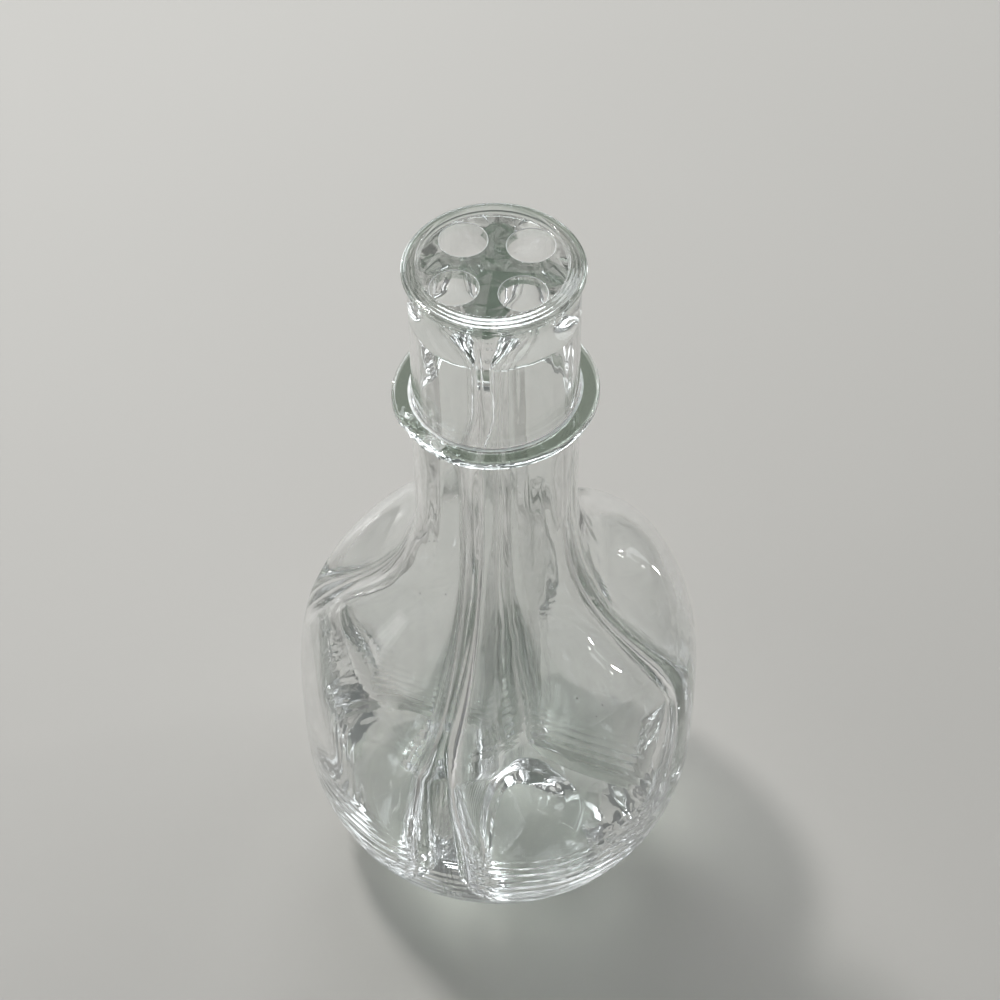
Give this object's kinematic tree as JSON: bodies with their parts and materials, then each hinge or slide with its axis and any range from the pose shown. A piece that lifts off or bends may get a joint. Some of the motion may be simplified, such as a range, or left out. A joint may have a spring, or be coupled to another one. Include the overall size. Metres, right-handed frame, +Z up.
{
  "type": "multi-chamber liqueur decanter",
  "caption": "Round clear glass decanter with a separate drink chamber in each quarter, a slim collared neck and a shared mouth with a pouring hole for each chamber.",
  "frame": {"origin": "middle of the flat ring that the decanter stands on", "axes": "+Z up to the mouth; the body's partition walls lie in the planes x = 0 and y = 0, and -Y is the front"},
  "size_m": [0.1244, 0.1244, 0.2452],
  "materials": {
    "clear_glass": "fire-polished clear glass",
    "thick_glass": "fire-polished clear glass, faintly green where it is thick"
  },
  "bodies": {
    "root": {"base_pad": "thick_glass", "chamber_back_right": "clear_glass", "chamber_back_left": "clear_glass", "chamber_front_left": "clear_glass", "chamber_front_right": "clear_glass", "throat_back_right": "clear_glass", "throat_back_left": "clear_glass", "throat_front_left": "clear_glass", "throat_front_right": "clear_glass", "pour_plate": "thick_glass", "rim_lip": "thick_glass", "neck_collar": "thick_glass"}
  },
  "joints": []
}
